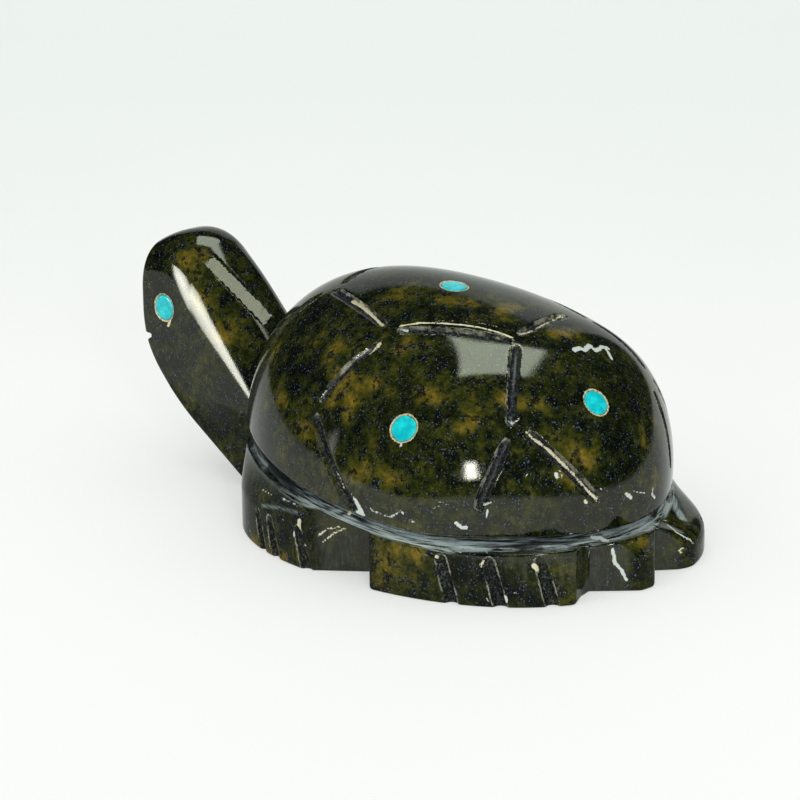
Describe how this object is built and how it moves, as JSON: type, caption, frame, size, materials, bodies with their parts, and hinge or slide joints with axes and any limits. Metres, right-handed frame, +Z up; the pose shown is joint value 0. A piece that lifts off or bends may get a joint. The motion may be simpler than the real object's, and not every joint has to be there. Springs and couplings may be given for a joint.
{
  "type": "carved turtle figure",
  "caption": "Small turtle carved from one dark green stone, head raised, with a grooved domed shell, toed feet and round turquoise inlays.",
  "frame": {"origin": "on the flat underside, below the widest part of the shell, on the middle line", "axes": "-Y towards the head, +Z up, +X to the turtle's own left"},
  "size_m": [0.0336, 0.0569, 0.022],
  "materials": {
    "dark_stone": "polished dark green serpentine with yellow-brown patches and fine speckles",
    "turquoise": "polished turquoise blue"
  },
  "bodies": {
    "root": {"turtle_stone": "dark_stone", "inlay_shell_top": "turquoise", "inlay_shell_left": "turquoise", "inlay_shell_right": "turquoise", "inlay_shell_rear": "turquoise", "inlay_eye_left": "turquoise", "inlay_eye_right": "turquoise"}
  },
  "joints": []
}
